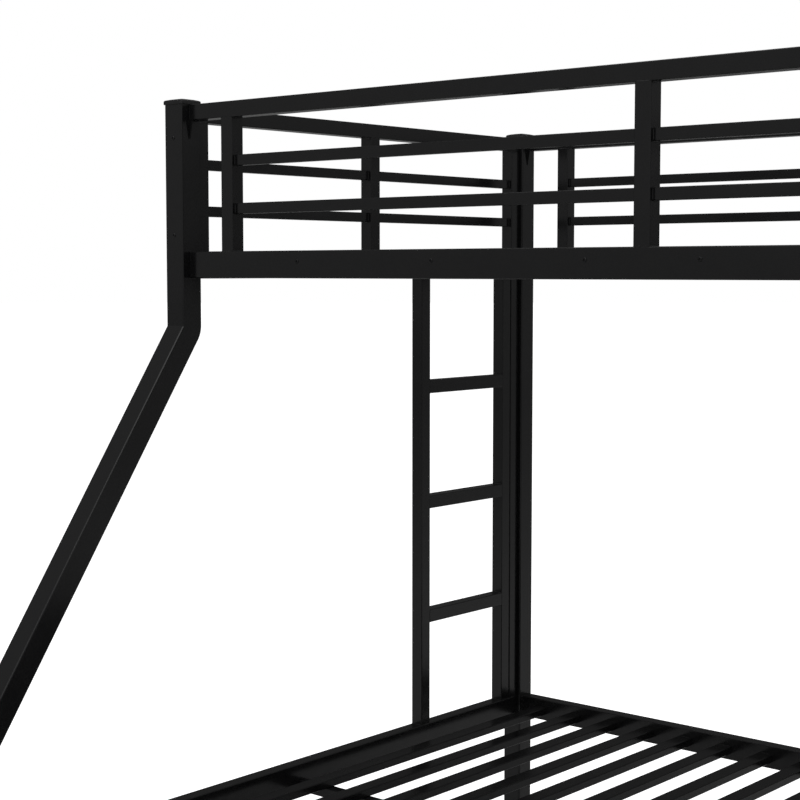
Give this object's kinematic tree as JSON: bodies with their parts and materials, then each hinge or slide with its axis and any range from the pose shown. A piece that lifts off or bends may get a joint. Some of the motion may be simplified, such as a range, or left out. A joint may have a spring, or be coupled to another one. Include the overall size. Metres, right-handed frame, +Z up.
{
  "type": "bunk bed with ladder",
  "caption": "Twin-over-full metal bunk bed of square tube, with flared front legs, guard rails, slatted decks and an end ladder.",
  "frame": {"origin": "on the floor, at the centre of the footprint", "axes": "+Z up, X along the bed with the ladder at the -X end, -Y the side where the legs flare out, +Y the wall side"},
  "size_m": [2.004, 1.528, 1.655],
  "materials": {
    "powder_coated_steel": "smooth semi-gloss black powder coat",
    "black_plastic": "satin black moulded plastic"
  },
  "bodies": {
    "root": {"back_cap_left": "black_plastic", "back_cap_right": "black_plastic", "back_foot_left": "black_plastic", "back_foot_right": "black_plastic", "back_guard_bar_lower": "powder_coated_steel", "back_guard_bar_upper": "powder_coated_steel", "back_guard_top_rail": "powder_coated_steel", "back_guard_upright_left": "powder_coated_steel", "back_guard_upright_middle": "powder_coated_steel", "back_guard_upright_right": "powder_coated_steel", "back_post_left": "powder_coated_steel", "back_post_right": "powder_coated_steel", "back_side_rail_lower": "powder_coated_steel", "back_side_rail_upper": "powder_coated_steel", "centre_foot_left": "black_plastic", "centre_foot_right": "black_plastic", "centre_leg_left": "powder_coated_steel", "centre_leg_right": "powder_coated_steel", "front_cap_left": "black_plastic", "front_cap_right": "black_plastic", "front_foot_left": "black_plastic", "front_foot_right": "black_plastic", "front_guard_bar_lower": "powder_coated_steel", "front_guard_bar_upper": "powder_coated_steel", "front_guard_top_rail": "powder_coated_steel", "front_guard_upright_left": "powder_coated_steel", "front_guard_upright_middle": "powder_coated_steel", "front_guard_upright_right": "powder_coated_steel", "front_post_left": "powder_coated_steel", "front_post_right": "powder_coated_steel", "front_side_rail_lower": "powder_coated_steel", "front_side_rail_upper": "powder_coated_steel", "ladder_rung_1": "powder_coated_steel", "ladder_rung_2": "powder_coated_steel", "ladder_rung_3": "powder_coated_steel", "ladder_stile_front": "powder_coated_steel", "ladder_stile_rear": "powder_coated_steel", "left_end_bar_lower": "powder_coated_steel", "left_end_bar_upper": "powder_coated_steel", "left_end_rail_lower": "powder_coated_steel", "left_end_rail_upper": "powder_coated_steel", "left_end_top_rail": "powder_coated_steel", "left_end_tube_front": "powder_coated_steel", "left_end_tube_rear": "powder_coated_steel", "left_end_upright": "powder_coated_steel", "lower_beam_joiner": "powder_coated_steel", "lower_deck_left": "powder_coated_steel", "lower_deck_right": "powder_coated_steel", "right_end_bar_lower": "powder_coated_steel", "right_end_bar_upper": "powder_coated_steel", "right_end_rail_lower": "powder_coated_steel", "right_end_rail_upper": "powder_coated_steel", "right_end_top_rail": "powder_coated_steel", "right_end_tube_front": "powder_coated_steel", "right_end_tube_rear": "powder_coated_steel", "right_end_upright": "powder_coated_steel", "upper_beam_joiner": "powder_coated_steel", "upper_deck_left": "powder_coated_steel", "upper_deck_right": "powder_coated_steel"}
  },
  "joints": []
}
